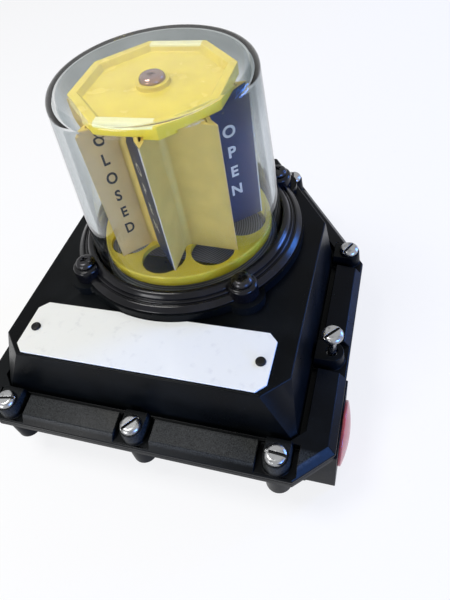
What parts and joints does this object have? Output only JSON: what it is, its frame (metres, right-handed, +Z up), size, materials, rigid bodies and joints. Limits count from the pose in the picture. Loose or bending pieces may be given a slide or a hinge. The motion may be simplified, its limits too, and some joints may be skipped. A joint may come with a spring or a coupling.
{
  "type": "valve limit switch box",
  "caption": "Black cast valve limit switch box with slotted cover screws, a bare nameplate and a clear dome over a yellow and blue rotary position indicator.",
  "frame": {"origin": "where the shaft axis meets the flat mounting face under the base", "axes": "+Z up along the shaft axis, -Y towards the front where the nameplate is, +X towards the plugged conduit entry"},
  "size_m": [0.1675, 0.1812, 0.1413],
  "materials": {
    "cast_black": "semi-gloss black coating on a casting",
    "ring_black": "glossy black",
    "black_screw": "black oxide",
    "screw_steel": "plain stainless steel",
    "bright_steel": "polished",
    "shaft_steel": "ground",
    "spring_steel": "plain",
    "plate_white": "white satin",
    "rivet_dark": "dark",
    "plug_red": "glossy moulded",
    "dome_clear": "clear moulded plastic",
    "indicator_yellow": "glossy moulded",
    "face_blue": "glossy",
    "face_yellow": "glossy",
    "seal_rubber": "matte",
    "bearing_bronze": "sintered bronze",
    "cam_orange": "moulded",
    "cam_green": "moulded",
    "switch_black": "moulded",
    "bracket_zinc": "zinc plated",
    "ground_green": "green"
  },
  "bodies": {
    "base": {"base_housing": "cast_black", "cover_gasket": "seal_rubber", "conduit_plug": "plug_red", "shaft_bush": "bearing_bronze", "switch_bracket": "bracket_zinc", "lower_switch": "switch_black", "upper_switch": "switch_black", "switch_screws": "screw_steel", "bracket_screws": "screw_steel", "terminal_strip": "switch_black", "terminal_screws": "screw_steel", "strip_screws": "screw_steel", "ground_screw": "ground_green"},
    "shaft": {"main_shaft": "shaft_steel", "shaft_seal": "seal_rubber", "shaft_clip": "spring_steel", "lower_cam": "cam_orange", "upper_cam": "cam_green", "cam_targets": "shaft_steel", "cam_spacer": "spring_steel", "snap_ring": "spring_steel"},
    "cover": {"cover": "cast_black", "cover_screws": "screw_steel", "nameplate": "plate_white", "nameplate_rivets": "rivet_dark", "dome": "dome_clear", "dome_seal": "seal_rubber", "dome_ring": "ring_black", "dome_ring_screws": "black_screw", "spindle_bush": "bearing_bronze"},
    "raised_screw": {"raised_cover_screw": "screw_steel"},
    "indicator": {"indicator_disc": "indicator_yellow", "indicator_fins": "indicator_yellow", "open_faces": "face_blue", "closed_faces": "face_yellow", "indicator_cap": "indicator_yellow", "cap_screw": "bright_steel", "indicator_spindle": "shaft_steel", "drive_dog": "shaft_steel"}
  },
  "joints": [
    {"name": "shaft_turn", "type": "hinge", "parent": "base", "child": "shaft", "pos_m": [0, 0, 0], "axis": [0, 0, 1], "continuous": true},
    {"name": "cover_lift", "type": "slide", "parent": "base", "child": "cover", "axis": [0, 0, 1], "range_m": [0, 0.12]},
    {"name": "raised_screw_slide", "type": "slide", "parent": "cover", "child": "raised_screw", "axis": [0, 0, 1], "range_m": [-0.011, 0]},
    {"name": "indicator_turn", "type": "hinge", "parent": "cover", "child": "indicator", "pos_m": [0, 0, 0], "axis": [0, 0, 1], "continuous": true}
  ],
  "couplings": [
    {"joint": "shaft_turn", "follows": "indicator_turn", "ratio": 1}
  ]
}
